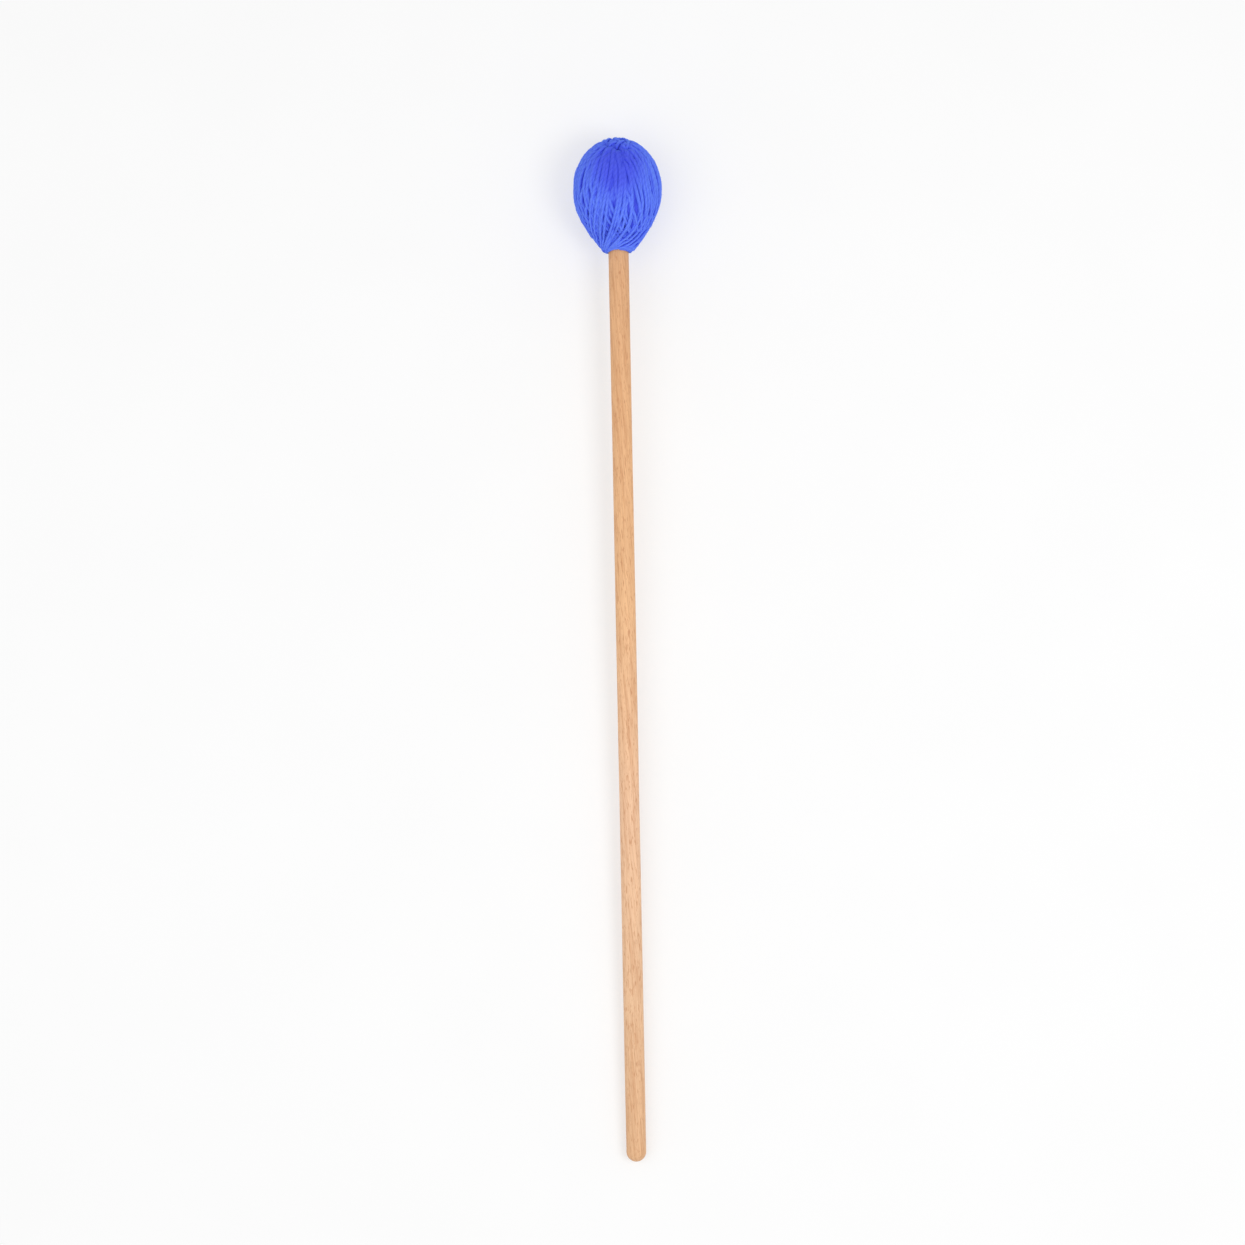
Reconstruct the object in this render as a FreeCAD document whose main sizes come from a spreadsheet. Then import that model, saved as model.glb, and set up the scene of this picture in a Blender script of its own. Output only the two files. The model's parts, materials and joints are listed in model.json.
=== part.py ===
import FreeCAD, Part
import math
import os
import Sketcher

# Marimba mallet: a beech shaft with a rubber core glued on its tip and yarn wound over the core.
# Every piece is drawn in the mallet's own frame: Z runs along the shaft, from the butt to the crown.
# Head pieces are drawn from the head's widest plane, which the text calls the equator.
# The finished mallet lies on the ground on its butt and its head, with the head towards +X.

Vector = FreeCAD.Vector
AXIS = Vector(0, 0, 1)

doc = FreeCAD.newDocument("marimba_mallet")
sheet = doc.addObject("Spreadsheet::Sheet", "sizes")

SIZES = [
    # name, value in mm, degrees, counts or shares, or a formula of the names above it
    ("overall_length", 410.0, "butt to crown"),
    ("shaft_d", 8.0, "beech dowel"),
    ("tenon_d", 7.6, "end of the dowel inside the head"),
    ("tip_chamfer", 0.8, "turned edge at the hidden end of the dowel"),
    ("head_d", 35.5, "over the yarn at the equator"),
    ("crown_rise", 21.2, "equator to crown"),
    ("neck_drop", 25.2, "equator to the lower end of the yarn"),
    ("core_d", 24.0, "rubber core"),
    ("core_top", 8.0, "equator to the top of the core"),
    ("core_drop", 12.0, "equator to the bottom of the core"),
    ("core_top_round_share", 0.875, "of the core's wall, rounding of the top edge"),
    ("core_bottom_round_share", 0.75, "of the core's wall, rounding of the bottom edge"),
    ("tip_cover", 5.0, "rubber left above the tip of the dowel"),
    ("glue_film", 0.2, "cured glue between dowel and core"),
    ("soft_clearance", 0.25, "yarn to its neighbours"),
    ("strand_d", 1.2, "tube that stands for one strand of the outer winding"),
    ("strand_gap", 0.51, "least free space wanted beside a strand"),
    ("winding_layers", 3, "layers that cross on the crown"),
    ("layer_passes", 8, "passes over the crown in each layer"),
    ("shoulder_radius_share", 0.6873, "of the strand circle at the equator"),
    ("shoulder_height_share", 0.6393, "of the crown rise"),
    ("layer_slope_step", 1.8, "degrees less steep at the shoulder, each layer further in"),
    ("layer_radius_share", 0.481, "of the strand pitch, each layer further in"),
    ("layer_height_share", 1.039, "of the strand pitch, each layer further in"),
    ("flank_balance_share", 1.086, "upper arc of a flank against its lower arc"),
    ("hip_height_share", 0.5356, "of the neck drop, where the short turns lie"),
    ("low_turn_radius_share", 1.05, "of the least circle that the long turns need"),
    ("low_turn_height_share", 0.9189, "of the neck drop, where the long turns lie"),
    ("neck_slope", 37.5, "degrees off the axis"),
    ("tail_bend_share", 1.25, "of the strand, bend where an end turns in"),
    ("tail_pocket_share", 0.6, "of the strand, extra room beside a bend"),
    ("wrap_turns", 2, "turns of yarn round the dowel under the head"),
    ("wrap_margin_share", 0.5, "of the strand, wrap to the lower end of the yarn"),
    ("stitch_reach", 4.0, "crown centre to the edge of the crown stitches"),
    ("stitch_rise", 1.475, "top of the winding to the crown"),
    ("core_wall", "=core_d / 2 - tenon_d / 2 - glue_film", "rubber beside the bore"),
    ("core_top_round", "=core_wall * core_top_round_share", "rounding of the top edge"),
    ("core_bottom_round", "=core_wall * core_bottom_round_share", "rounding of the bottom edge"),
]

for row, (name, value, note) in enumerate(SIZES, start=1):
    sheet.set("A%d" % row, name)
    sheet.set("B%d" % row, str(value))
    sheet.set("C%d" % row, note)
    sheet.setAlias("B%d" % row, name)
doc.recompute()


def size(name):
    """Value of one named size in the sheet."""
    return float(sheet.get(name))


def count(name):
    """Value of one named count in the sheet."""
    return int(round(size(name)))


# Frame of the mallet.

def strand_radius():
    return size("strand_d") / 2


def strand_circle():
    """Radius of the circle that the strands' centres pass through at the equator."""
    return size("head_d") / 2 - strand_radius()


def strand_pitch():
    """Centre distance of two strands that lie side by side."""
    return size("strand_d") + size("strand_gap")


def strand_step():
    """Angle round the axis between two strands at the equator, in radians."""
    return math.pi / (count("winding_layers") * count("layer_passes"))


def equator_height():
    return size("overall_length") - size("crown_rise")


# Sketched bodies.

def reading(text):
    """Value now, and expression, of a sum of named sizes such as 'core_top -tip_cover shaft_d/2'."""
    value = 0.0
    words = []
    for term in text.split():
        sign = -1 if term.startswith("-") else 1
        name, _, divisor = term.lstrip("-").partition("/")
        divisor = divisor or "1"
        value += sign * size(name) / float(divisor)
        words.append("%s sizes.%s / %s" % ("-" if sign < 0 else "+", name, divisor))
    return value, "0 " + " ".join(words)


def bind(sketch, constraint, text):
    """Adds one constraint and lets the sheet drive it."""
    index = sketch.addConstraint(constraint)
    sketch.setExpression("Constraints[%d]" % index, reading(text)[1])


def place_corner(sketch, curve, x_text, y_text):
    """Holds the start point of a curve at a named distance from each axis."""
    if x_text:
        bind(sketch, Sketcher.Constraint("DistanceX", -1, 1, curve, 1, reading(x_text)[0]), x_text)
    else:
        sketch.addConstraint(Sketcher.Constraint("PointOnObject", curve, 1, -2))
    if y_text:
        bind(sketch, Sketcher.Constraint("DistanceY", -1, 1, curve, 1, reading(y_text)[0]), y_text)
    else:
        sketch.addConstraint(Sketcher.Constraint("PointOnObject", curve, 1, -1))


def rounded(start, end, radius, turn):
    """Arc between two points of a profile; turn is +1 where the profile turns left."""
    chord = end - start
    middle = (start + end) / 2
    rise = math.sqrt(max(radius * radius - (chord.Length / 2) ** 2, 0.0))
    across = Vector(-chord.y, chord.x, 0).normalize()
    centre = middle + across * (rise * turn)
    first = math.atan2(start.y - centre.y, start.x - centre.x)
    last = math.atan2(end.y - centre.y, end.x - centre.x)
    circle = Part.Circle(centre, Vector(0, 0, 1), radius)
    return Part.ArcOfCircle(circle, first, last)


def turned_body(name, corners):
    """Body turned round the axis. A corner is its distance off the axis, its height and,
    where the next edge is round, that edge's radius. The profile runs anticlockwise."""
    body = doc.addObject("PartDesign::Body", name)
    plane = [item for item in body.Origin.OriginFeatures if item.Role == "XZ_Plane"][0]
    sketch = body.newObject("Sketcher::SketchObject", name + "_profile")
    sketch.AttachmentSupport = [(plane, "")]
    sketch.MapMode = "FlatFace"
    points = [Vector(reading(corner[0])[0], reading(corner[1])[0], 0) for corner in corners]
    for index, corner in enumerate(corners):
        start = points[index]
        end = points[(index + 1) % len(points)]
        if len(corner) > 2:
            sketch.addGeometry(rounded(start, end, reading(corner[2])[0], 1), False)
        else:
            sketch.addGeometry(Part.LineSegment(start, end), False)
    for index in range(len(corners)):
        following = (index + 1) % len(corners)
        sketch.addConstraint(Sketcher.Constraint("Coincident", index, 2, following, 1))
    for index, corner in enumerate(corners):
        place_corner(sketch, index, corner[0], corner[1])
        if len(corner) > 2:
            bind(sketch, Sketcher.Constraint("Radius", index, reading(corner[2])[0]), corner[2])
    turn = body.newObject("PartDesign::Revolution", name + "_turned")
    turn.Profile = sketch
    turn.ReferenceAxis = (sketch, ["V_Axis"])
    turn.Angle = 360
    sketch.Visibility = False
    return body


def make_shaft():
    """Dowel with a round butt, and a thinner chamfered end inside the head."""
    shoulder_line = "overall_length -crown_rise -neck_drop"
    tip = "overall_length -crown_rise core_top -tip_cover -glue_film"
    return turned_body("shaft", [
        ("", "", "shaft_d/2"),
        ("shaft_d/2", "shaft_d/2"),
        ("shaft_d/2", shoulder_line),
        ("tenon_d/2", shoulder_line),
        ("tenon_d/2", tip + " -tip_chamfer"),
        ("tenon_d/2 -tip_chamfer", tip),
        ("", tip),
    ])


def make_core():
    """Rubber core with its blind bore for the dowel."""
    bore = "tenon_d/2 glue_film"
    return turned_body("core", [
        (bore, "-core_drop"),
        ("core_d/2 -core_bottom_round", "-core_drop", "core_bottom_round"),
        ("core_d/2", "-core_drop core_bottom_round"),
        ("core_d/2", "core_top -core_top_round", "core_top_round"),
        ("core_d/2 -core_top_round", "core_top"),
        ("", "core_top"),
        ("", "core_top -tip_cover"),
        (bore, "core_top -tip_cover"),
    ])


def make_glue():
    """Cured glue that fills the bore round the dowel and over its tip."""
    bore = "tenon_d/2 glue_film"
    tip = "core_top -tip_cover -glue_film"
    return turned_body("glue_film", [
        ("tenon_d/2", "-core_drop"),
        (bore, "-core_drop"),
        (bore, "core_top -tip_cover"),
        ("", "core_top -tip_cover"),
        ("", tip),
        ("tenon_d/2 -tip_chamfer", tip),
        ("tenon_d/2", tip + " -tip_chamfer"),
    ])


# Curves of the yarn.

def two_arcs(start, start_way, end, end_way, balance=1.0):
    """Two arcs that meet smoothly between two stations. Each is its two ends and the
    corner where its tangents cross; balance is the first tangent over the second."""
    span = end - start
    share = 1.0 / balance
    a = 2 * share * (1 - start_way.dot(end_way))
    b = 2 * (span.dot(start_way) + share * span.dot(end_way))
    c = -span.dot(span)
    if abs(a) < 1e-9:
        first = -c / b
    else:
        first = (-b + math.sqrt(b * b - 4 * a * c)) / (2 * a)
    second = first * share
    corner = start + start_way * first
    other = end - end_way * second
    joint = (corner * second + other * first) / (first + second)
    return [(start, corner, joint), (joint, other, end)]


def arc_point(arc, along):
    """Point of an arc at a share of its way from the first end."""
    start, corner, end = arc
    weight = (end - start).Length / (2 * (corner - start).Length)
    near = (1 - along) ** 2
    mid = 2 * weight * along * (1 - along)
    far = along * along
    return (start * near + corner * mid + end * far) / (near + mid + far)


def arc_edge(arc):
    """Edge of an arc, or a line where it doesn't bend."""
    start, corner, end = arc
    middle = arc_point(arc, 1 / 2)
    bend = (middle - (start + end) / 2).Length / (end - start).Length
    if bend < 1e-6:
        return Part.LineSegment(start, end).toShape()
    return Part.Arc(start, middle, end).toShape()


def route(stations):
    """Arcs through stations; a station is its place, its way and the balance to the next."""
    arcs = []
    for here, there in zip(stations, stations[1:]):
        arcs += two_arcs(here[0], here[1], there[0], there[1], here[2])
    return arcs


def tube(arcs, start_way, radius, first=None, last=None):
    """Closed tube along a route, with a straight run before and after it."""
    edges = [arc_edge(arc) for arc in arcs]
    start = arcs[0][0]
    if first:
        start = first
        edges.insert(0, Part.LineSegment(first, arcs[0][0]).toShape())
    if last:
        edges.append(Part.LineSegment(arcs[-1][2], last).toShape())
    ring = Part.Wire(Part.Circle(start, start_way, radius).toShape())
    pipe = Part.BRepOffsetAPI.MakePipeShell(Part.Wire(edges))
    pipe.add(ring)
    pipe.build()
    pipe.makeSolid()
    return pipe.shape()


def least_gap(arcs, radius, apart):
    """Least free space between turns of a route that lie further apart than a length of it."""
    steps = 8
    points = []
    lengths = []
    total = 0.0
    for arc in arcs:
        for index in range(steps):
            point = arc_point(arc, index / steps)
            if points:
                total += (point - points[-1]).Length
            points.append(point)
            lengths.append(total)
    cell = 2 * apart
    boxes = {}
    for index, point in enumerate(points):
        key = tuple(int(math.floor(value / cell)) for value in point)
        boxes.setdefault(key, []).append(index)
    near = [(i, j, k) for i in (-1, 0, 1) for j in (-1, 0, 1) for k in (-1, 0, 1)]
    least = cell
    for key, members in boxes.items():
        others = [o for step in near for o in boxes.get(tuple(a + b for a, b in zip(key, step)), [])]
        for one in members:
            for other in others:
                if other > one and lengths[other] - lengths[one] > apart:
                    least = min(least, (points[one] - points[other]).Length)
    return least - 2 * radius


def turned(point, angle):
    """Point or way turned round the axis."""
    cosine = math.cos(angle)
    sine = math.sin(angle)
    return Vector(point.x * cosine - point.y * sine, point.x * sine + point.y * cosine, point.z)


def polar(radius, angle, height):
    return Vector(radius * math.cos(angle), radius * math.sin(angle), height)


# Outer winding.

def shoulder(layer):
    """Radius, height and slope below level of a layer's strands at the shoulder. Layer 0 is
    outermost, and its slope is that of a dome that ends under the crown stitches."""
    radius = size("shoulder_radius_share") * strand_circle()
    height = size("shoulder_height_share") * size("crown_rise")
    dome_rise = size("crown_rise") - size("stitch_rise") - strand_radius() - height
    slope = 2 * math.atan(dome_rise / radius) - layer * math.radians(size("layer_slope_step"))
    radius -= layer * size("layer_radius_share") * strand_pitch()
    height -= layer * size("layer_height_share") * strand_pitch()
    return radius, height, slope


def shoulder_station(layer, sideways, side, outward):
    """Where a pass over the crown leaves the shoulder, on its front (1) or back (-1)."""
    radius, height, slope = shoulder(layer)
    x = side * math.sqrt(radius * radius - sideways * sideways)
    normal = Vector(x / radius * math.sin(slope), sideways / radius * math.sin(slope), math.cos(slope))
    way = Vector(side, 0, -normal.x * side / normal.z).normalize()
    return Vector(x, sideways, height), way if outward else way * -1


def down_neck(angle, sign):
    """Way down (1) or up (-1) the neck's cone at an angle round the axis."""
    slope = math.radians(size("neck_slope"))
    return polar(-math.sin(slope), angle, -math.cos(slope)) * sign


def hip_place():
    """Radius and height of the short turns, where all strands still lie side by side."""
    radius = strand_pitch() / 2 / math.sin(strand_step() / 2)
    return radius, -size("hip_height_share") * size("neck_drop")


def low_place():
    """Radius and height of the long turns, where half of the strands lie side by side."""
    radius = strand_pitch() / 2 / math.sin(strand_step()) * size("low_turn_radius_share")
    return radius, -size("low_turn_height_share") * size("neck_drop")


def leg(angle, middle, is_long, down):
    """Stations of a strand between the flank and its turn at the neck, in the order laid."""
    sign = 1 if down else -1
    radius, height = hip_place()
    stations = [(polar(radius, angle, height), down_neck(middle, sign))]
    if is_long:
        radius, height = low_place()
        spread = strand_step() if angle > middle else -strand_step()
        stations.append((polar(radius, middle + spread, height), down_neck(middle, sign)))
    return stations if down else stations[::-1]


def winding_stations():
    """Stations of the whole winding. Passes cross the crown by turns from the front and
    from the back, and each strand turns back beside the next one at the neck."""
    layers = count("winding_layers")
    passes = count("layer_passes")
    step = strand_step()
    balance = size("flank_balance_share")
    stations = []
    for number in range(layers * passes):
        layer, place = divmod(number, passes)
        offset = place - (passes - 1) / 2
        sideways = strand_pitch() * offset
        band = math.pi / layers * layer
        front_first = number % 2 == 0
        for down in (False, True):
            front = front_first != down
            side = 1 if front else -1
            angle = step * offset if front else math.pi - step * offset
            turn = offset + (1 / 2 if down else -1 / 2)
            middle = step * turn if front else math.pi - step * turn
            before = number if down else number - 1
            is_free = before < 0 or before == layers * passes - 1
            is_long = before % 4 in (0, 3) and not is_free
            if is_free:
                middle = angle
            low = [(p, w, 1.0) for p, w in leg(angle + band, middle + band, is_long, down)]
            place_now, way_now = shoulder_station(layer, sideways, side, down)
            top = (turned(place_now, band), turned(way_now, band))
            if down:
                stations += [(top[0], top[1], balance)] + low
            else:
                low[-1] = (low[-1][0], low[-1][1], 1 / balance)
                stations += low + [(top[0], top[1], 1.0)]
    return stations


def tail(station, sign):
    """Bend and straight run that tuck an end into the yarn below, square to its surface."""
    place, way, _ = station
    way = way * sign
    angle = math.atan2(place.y, place.x)
    slope = math.radians(size("neck_slope"))
    inward = polar(-math.cos(slope), angle, math.sin(slope))
    bend = size("tail_bend_share") * size("strand_d")
    turn_end = place + way * bend + inward * bend
    return two_arcs(place, way, turn_end, inward), turn_end + inward * size("strand_d"), inward


def reversed_arcs(arcs):
    return [(end, corner, start) for start, corner, end in reversed(arcs)]


def make_winding():
    """Outer winding: one unbroken tube from its tucked start to its tucked end."""
    stations = winding_stations()
    arcs = route(stations)
    head_arcs, head_end, inward = tail(stations[0], -1)
    tail_arcs, tail_end, _ = tail(stations[-1], 1)
    arcs = reversed_arcs(head_arcs) + arcs + tail_arcs
    gap = least_gap(arcs, strand_radius(), 3 * size("strand_d"))
    print("yarn_winding: %d passes, least gap to itself %.3f mm" % (
        count("winding_layers") * count("layer_passes"), gap))
    shape = tube(arcs, inward * -1, strand_radius(), first=head_end, last=tail_end)
    return keep("yarn_winding", shape)


# Yarn below the winding.

def clearance_line():
    """Distance from the strands' centres to the yarn below them."""
    return strand_radius() + size("soft_clearance")


def inset(arc, distance):
    """Arc of the same centre, further in; the profile runs from the crown to the neck."""
    moved = []
    start, corner, end = arc
    for along in (0, 1 / 2, 1):
        point = arc_point(arc, along)
        if along == 0:
            way = corner - start
        elif along == 1:
            way = end - corner
        else:
            way = end - start
        way.normalize()
        moved.append(point + Vector(-way.z, 0, way.x) * -distance)
    return moved


def profile_arcs():
    """Innermost layer's route in one plane through the axis, from the crown to the hip."""
    layer = count("winding_layers") - 1
    radius, height, slope = shoulder(layer)
    cap = radius / math.sin(slope)
    top = height + cap * (1 - math.cos(slope))
    place, way = shoulder_station(layer, 0, 1, True)
    crown = two_arcs(Vector(0, 0, top), Vector(1, 0, 0), place, way)
    hip_radius, hip_height = hip_place()
    flank = two_arcs(place, way, Vector(hip_radius, 0, hip_height), down_neck(0, 1),
                     size("flank_balance_share"))
    return crown + flank


def wrap_heights():
    """Heights of the neck wrap's lowest and highest strand centres."""
    low = -size("neck_drop") + strand_radius() + size("wrap_margin_share") * size("strand_d")
    return low, low + size("wrap_turns") * strand_pitch()


def cut_for_tails(shape):
    """Round pockets for the two tucked ends of the outer winding, wide enough for their bends."""
    stations = winding_stations()
    radius = clearance_line() + size("tail_pocket_share") * size("strand_d")
    above = clearance_line() + size("tail_bend_share") * size("strand_d")
    for station, sign in ((stations[0], -1), (stations[-1], 1)):
        _, end, inward = tail(station, sign)
        depth = above + size("strand_d") + size("soft_clearance")
        start = end - inward * (above + size("strand_d"))
        shape = shape.cut(Part.makeCylinder(radius, depth, start, inward))
    return shape


def make_underlayer():
    """Yarn between the core and the outer winding, as one plain turned solid."""
    gap = size("soft_clearance")
    line = clearance_line()
    outer = [inset(arc, line) for arc in profile_arcs()]
    hip_radius, hip_height = hip_place()
    low_radius, low_height = low_place()
    slope = math.radians(size("neck_slope"))
    inward = Vector(-math.cos(slope), 0, math.sin(slope)) * line
    hip = outer[-1][2]
    low = Vector(low_radius, 0, low_height) + inward
    bottom = wrap_heights()[1] + clearance_line()
    foot = hip + (low - hip) * ((bottom - hip.z) / (low.z - hip.z))
    bore = size("tenon_d") / 2 + gap
    core = size("core_d") / 2
    core_bottom = -size("core_drop")
    core_top = size("core_top")
    low_round = size("core_bottom_round")
    top_round = size("core_top_round")
    corner_share = math.sqrt(1 / 2)
    edges = [Part.Arc(*arc).toBSpline().toShape() for arc in outer]
    edges.append(Part.LineSegment(hip, foot).toShape())
    inner = [
        foot,
        Vector(bore, 0, bottom),
        Vector(bore, 0, core_bottom - gap),
        Vector(core - low_round, 0, core_bottom - gap),
    ]
    edges += [Part.LineSegment(a, b).toShape() for a, b in zip(inner, inner[1:])]
    side_low = Vector(core + gap, 0, core_bottom + low_round)
    side_top = Vector(core + gap, 0, core_top - top_round)
    roof = Vector(core - top_round, 0, core_top + gap)
    reach = (low_round + gap) * corner_share
    middle = Vector(core - low_round + reach, 0, core_bottom + low_round - reach)
    edges.append(Part.Arc(inner[-1], middle, side_low).toShape())
    edges.append(Part.LineSegment(side_low, side_top).toShape())
    reach = (top_round + gap) * corner_share
    middle = Vector(core - top_round + reach, 0, core_top - top_round + reach)
    edges.append(Part.Arc(side_top, middle, roof).toShape())
    edges.append(Part.LineSegment(roof, Vector(0, 0, core_top + gap)).toShape())
    edges.append(Part.LineSegment(Vector(0, 0, core_top + gap), outer[0][0]).toShape())
    face = Part.Face(Part.Wire(edges))
    solid = face.revolve(Vector(0, 0, 0), AXIS, 360)
    return keep("yarn_underlayer", cut_for_tails(solid))


def make_neck_wrap():
    """Turns of yarn round the dowel that hold the winding under the core."""
    low, high = wrap_heights()
    radius = size("tenon_d") / 2 + clearance_line()
    turns = size("wrap_turns")
    halves = int(round(2 * turns))
    rise = (high - low) / halves
    stations = []
    for index in range(halves + 1):
        angle = math.pi * index
        way = Vector(-math.sin(angle), math.cos(angle), rise / math.pi / radius).normalize()
        stations.append((polar(radius, angle, low + rise * index), way, 1.0))
    arcs = route(stations)
    gap = least_gap(arcs, strand_radius(), 3 * size("strand_d"))
    print("neck_wrap: %d turns, least gap to itself %.3f mm" % (turns, gap))
    run = size("strand_d")
    start, way_in, _ = stations[0]
    end, way_out, _ = stations[-1]
    shape = tube(arcs, way_in, strand_radius(), first=start - way_in * run, last=end + way_out * run)
    return keep("neck_wrap", shape)


# Crown stitches.

def crown_dome():
    """Radius and centre height of the sphere that the outermost layer lies on at the crown."""
    radius, height, slope = shoulder(0)
    cap = radius / math.sin(slope)
    return cap, height - cap * math.cos(slope)


def stitch_dome():
    """Radius and centre height of the stitches' upper side."""
    cap, centre = crown_dome()
    inner = cap + clearance_line()
    reach = size("stitch_reach")
    edge = centre + math.sqrt(inner * inner - reach * reach) + strand_radius()
    rise = size("crown_rise") - edge
    radius = (reach * reach + rise * rise) / (2 * rise)
    return radius, size("crown_rise") - radius


def make_crown_stitch():
    """Stitches over the crown, as one low domed solid on the outer winding."""
    cap, centre = crown_dome()
    inner = cap + clearance_line()
    outer, outer_centre = stitch_dome()
    reach = size("stitch_reach")

    def on(radius, middle, x):
        return Vector(x, 0, middle + math.sqrt(radius * radius - x * x))

    low = [on(inner, centre, x) for x in (0, reach / 2, reach)]
    high = [on(outer, outer_centre, x) for x in (reach, reach / 2, 0)]
    edges = [
        Part.Arc(*low).toShape(),
        Part.LineSegment(low[2], high[0]).toShape(),
        Part.Arc(*high).toShape(),
        Part.LineSegment(high[2], low[0]).toShape(),
    ]
    solid = Part.Face(Part.Wire(edges)).revolve(Vector(0, 0, 0), AXIS, 360)
    return keep("crown_stitch", solid)


# Lying on the ground.

def flank_points():
    """Points of the outer winding's flanks, close together."""
    steps = 64
    stations = winding_stations()
    points = []
    for here, there in zip(stations, stations[1:]):
        if here[0].z * there[0].z < 0:
            for arc in two_arcs(here[0], here[1], there[0], there[1], here[2]):
                points += [arc_point(arc, index / steps) for index in range(steps + 1)]
    return points


def lying_tilt():
    """Tilt of the axis, in radians, that puts both the butt and the head on the ground."""
    butt = size("shaft_d") / 2
    reach = equator_height() - butt
    points = flank_points()
    tilt = (size("head_d") / 2 - butt) / reach
    for _ in range(12):
        sine = math.sin(tilt)
        cosine = math.cos(tilt)
        low = min((reach + p.z) * sine + p.x * cosine for p in points)
        tilt -= (butt - strand_radius() + low) / reach
    return tilt


def lying_placement():
    """Placement of the mallet's frame, with the lying mallet centred over the origin."""
    tilt = lying_tilt()
    butt = size("shaft_d") / 2
    dome, centre = stitch_dome()
    cosine = math.cos(tilt)
    rear = butt * cosine - butt
    front = (equator_height() + centre) * cosine + dome
    along = Vector(cosine, 0, math.sin(tilt))
    upward = Vector(-math.sin(tilt), 0, cosine)
    turn = FreeCAD.Rotation(upward, along.cross(upward), along, "ZXY")
    height = butt - butt * math.sin(tilt)
    print("lying tilt %.4f degrees" % math.degrees(tilt))
    return FreeCAD.Placement(Vector(-(rear + front) / 2, 0, height), turn)


# The pieces and their files.

def keep(name, shape):
    """Object that holds one finished solid."""
    if shape.ShapeType != "Solid" and len(shape.Solids) == 1:
        shape = shape.Solids[0]
    piece = doc.addObject("Part::Feature", name)
    piece.Shape = shape
    return piece


shaft_pieces = [make_shaft()]
head_pieces = [
    make_core(),
    make_glue(),
    make_underlayer(),
    make_winding(),
    make_neck_wrap(),
    make_crown_stitch(),
]
pieces = shaft_pieces + head_pieces

lying = lying_placement()
to_head = FreeCAD.Placement(Vector(0, 0, equator_height()), FreeCAD.Rotation())
for piece in shaft_pieces:
    piece.Placement = lying
for piece in head_pieces:
    piece.Placement = lying.multiply(to_head)
for piece in pieces:
    piece.Label = piece.Name

doc.recompute()

for item in doc.Objects:
    if "Invalid" in item.State or "Error" in item.State:
        raise RuntimeError("%s did not rebuild" % item.Name)
for piece in pieces:
    shape = piece.Shape
    if shape.isNull() or not shape.isValid() or len(shape.Solids) != 1:
        raise RuntimeError("%s is not one sound solid" % piece.Name)

os.makedirs("parts", exist_ok=True)
for piece in pieces:
    piece.Shape.exportStep("parts/%s.step" % piece.Name)
    box = piece.Shape.BoundBox
    print("%-16s volume %9.1f mm3  x %.2f..%.2f  y %.2f..%.2f  z %.2f..%.2f" % (
        piece.Name, piece.Shape.Volume, box.XMin, box.XMax, box.YMin, box.YMax, box.ZMin, box.ZMax))
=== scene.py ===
import json
import math
from functools import lru_cache

import bpy
import numpy as np
from mathutils import Matrix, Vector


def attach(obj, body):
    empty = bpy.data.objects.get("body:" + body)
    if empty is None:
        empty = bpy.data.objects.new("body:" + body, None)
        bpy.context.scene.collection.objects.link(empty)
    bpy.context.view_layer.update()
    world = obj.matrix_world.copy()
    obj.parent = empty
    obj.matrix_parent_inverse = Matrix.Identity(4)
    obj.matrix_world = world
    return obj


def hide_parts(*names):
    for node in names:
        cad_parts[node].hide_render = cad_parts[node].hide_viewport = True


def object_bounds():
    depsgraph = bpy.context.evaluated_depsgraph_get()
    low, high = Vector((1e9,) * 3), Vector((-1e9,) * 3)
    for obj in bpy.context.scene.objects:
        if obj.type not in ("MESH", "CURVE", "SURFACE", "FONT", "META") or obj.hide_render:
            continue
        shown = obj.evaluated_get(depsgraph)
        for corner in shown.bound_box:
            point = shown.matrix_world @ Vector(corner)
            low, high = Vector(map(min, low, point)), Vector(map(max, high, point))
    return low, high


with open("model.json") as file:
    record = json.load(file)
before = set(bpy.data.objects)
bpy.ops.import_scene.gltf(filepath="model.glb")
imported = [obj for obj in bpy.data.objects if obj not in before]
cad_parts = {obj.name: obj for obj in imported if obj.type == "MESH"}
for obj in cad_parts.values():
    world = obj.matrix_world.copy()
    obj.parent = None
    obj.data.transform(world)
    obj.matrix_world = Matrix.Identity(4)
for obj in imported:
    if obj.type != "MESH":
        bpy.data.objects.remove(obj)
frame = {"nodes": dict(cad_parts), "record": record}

bl_info = {
    "name": "Yarn marimba mallet",
    "version": (1, 0, 0),
    "blender": (4, 5, 0),
    "location": "View3D > Sidebar > Mallet",
    "description": "Dresses the packed marimba mallet: beech shaft, yarn head, floor, light",
    "category": "Object",
}

CAD_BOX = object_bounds()
MM = 0.001

# The mallet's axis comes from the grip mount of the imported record: a point on it and its way.
GRIP = frame["record"]["mounts"][0]
AXIS = -np.array(GRIP["axis"], dtype=float)
AXIS /= np.linalg.norm(AXIS)
UPWARD = np.array([-AXIS[2], 0.0, AXIS[0]])
ACROSS = np.cross(AXIS, UPWARD)

# Sizes of the head, in mm, shared by several pieces. Heights run from the head's widest plane,
# the equator: plus towards the crown, minus towards the neck.
SHAFT_R = 4.0
CROWN_RISE = 21.2
# The strands' centres lie half a strand under the outline, and a little more at the crown,
# where the stitches stand proud.
HALF_STRAND = 0.78
STITCH_PROUD = 0.2
CENTRE_RISE = CROWN_RISE - HALF_STRAND - STITCH_PROUD
CENTRE_WIDEST = 17.7 - HALF_STRAND
# The loops cross a little way down the front from the tip.
CROSSING = 6.6
# Each leg of a loop turns this far more round the shaft than a flat loop would.
WRAP = math.radians(18.0)
# Rise of the yarn's lower end over the front and the back of the shaft.
NECK_ARCH = 1.0
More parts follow.
